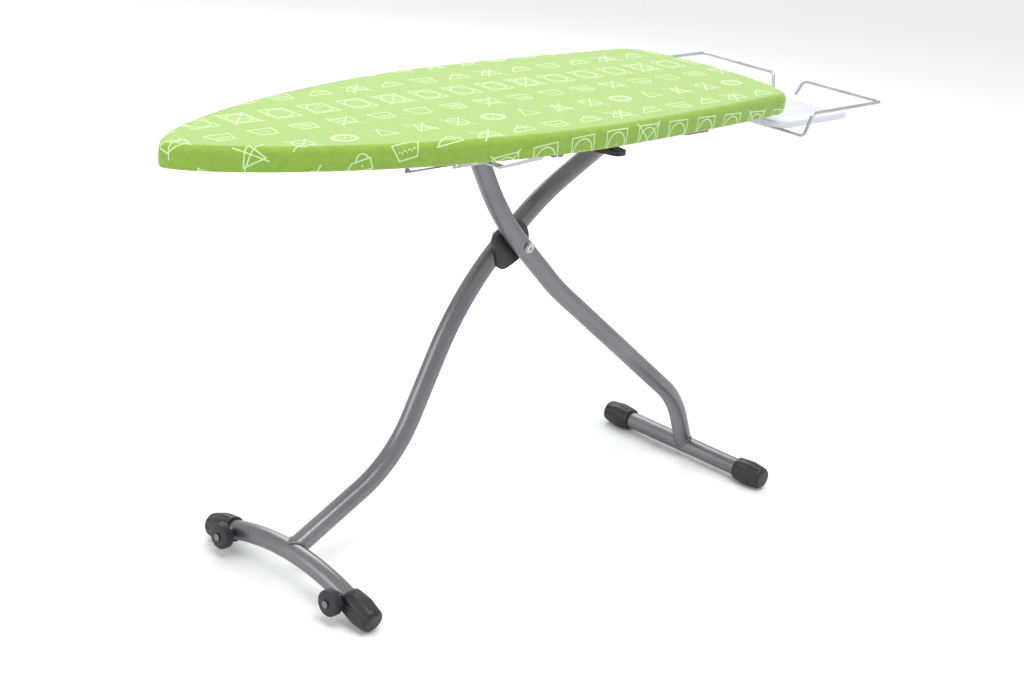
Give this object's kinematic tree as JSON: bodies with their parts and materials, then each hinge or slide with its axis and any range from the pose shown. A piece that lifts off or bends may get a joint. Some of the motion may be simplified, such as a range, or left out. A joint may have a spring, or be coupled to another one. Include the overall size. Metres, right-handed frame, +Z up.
{
  "type": "ironing board",
  "caption": "Folding ironing board: padded cloth-covered top, crossed curved tube legs, capped feet, small wheels, release lever and a wire iron rest with a tray.",
  "frame": {"origin": "on the floor, below the middle of the board and iron rest", "axes": "+X along the board from the nose to the iron rest, +Z up"},
  "size_m": [1.421, 0.4286, 0.75],
  "materials": {
    "bare_steel": "satin",
    "painted_silver": "satin",
    "foam": "matt",
    "green_cloth": "matt cotton",
    "white_elastic": "matt",
    "zinc_wire": "satin",
    "tray_plastic": "satin",
    "spring_steel": "satin",
    "zinc_screws": "satin",
    "black_plastic": "satin",
    "wheel_rubber": "matt"
  },
  "bodies": {
    "board": {"top_plate": "bare_steel", "rim_frame": "painted_silver", "cross_braces": "bare_steel", "rail_near": "bare_steel", "rail_far": "bare_steel", "hinge_bracket": "bare_steel", "foam_pad": "foam", "cloth_cover": "green_cloth", "hem_elastic": "white_elastic", "rest_wire": "zinc_wire", "rest_tray": "tray_plastic", "rest_clips": "bare_steel", "shaft_brackets": "bare_steel", "lock_spring": "spring_steel", "bracket_rivets": "zinc_screws"},
    "lever": {"release_lever": "black_plastic", "lock_shaft": "bare_steel", "lock_comb": "bare_steel"},
    "front_leg": {"front_leg_tube": "painted_silver", "front_top_bar": "bare_steel", "front_bar_caps": "black_plastic", "front_foot_tube": "painted_silver", "front_cap_near": "black_plastic", "front_cap_far": "black_plastic", "wheel_brackets": "bare_steel", "wheel_axles": "zinc_screws", "pivot_hub": "black_plastic", "pivot_bolt": "zinc_screws", "pivot_nut": "zinc_screws"},
    "rear_leg": {"rear_leg_tube": "painted_silver", "pivot_bush": "black_plastic", "slide_bar": "bare_steel", "slide_rollers": "black_plastic", "rear_foot_tube": "painted_silver", "rear_cap_near": "black_plastic", "rear_cap_far": "black_plastic"},
    "wheel_n": {"wheel_near": "wheel_rubber"},
    "wheel_f": {"wheel_far": "wheel_rubber"}
  },
  "joints": [
    {"name": "front_leg_fold", "type": "hinge", "parent": "board", "child": "front_leg", "pos_m": [0.30067, 0.012, 0.688], "axis": [0, 1, 0], "range_deg": [0, 21.5]},
    {"name": "leg_cross", "type": "hinge", "parent": "front_leg", "child": "rear_leg", "pos_m": [-0.00936, 0.012, 0.50403], "axis": [0, 1, 0], "range_deg": [-62.64, 0]},
    {"name": "lever_turn", "type": "hinge", "parent": "board", "child": "lever", "pos_m": [-0.0605, -0.15, 0.702], "axis": [1, 0, 0], "range_deg": [-10, 0], "stiffness_Nm_per_rad": 1.5, "springref_deg": 5.73},
    {"name": "wheel_near_spin", "type": "hinge", "parent": "front_leg", "child": "wheel_n", "pos_m": [-0.4505, -0.12, 0.036], "axis": [1, 0, 0], "continuous": true},
    {"name": "wheel_far_spin", "type": "hinge", "parent": "front_leg", "child": "wheel_f", "pos_m": [-0.4505, 0.144, 0.036], "axis": [1, 0, 0], "continuous": true}
  ],
  "couplings": [
    {"joint": "leg_cross", "follows": "front_leg_fold", "ratio": -2.89}
  ]
}
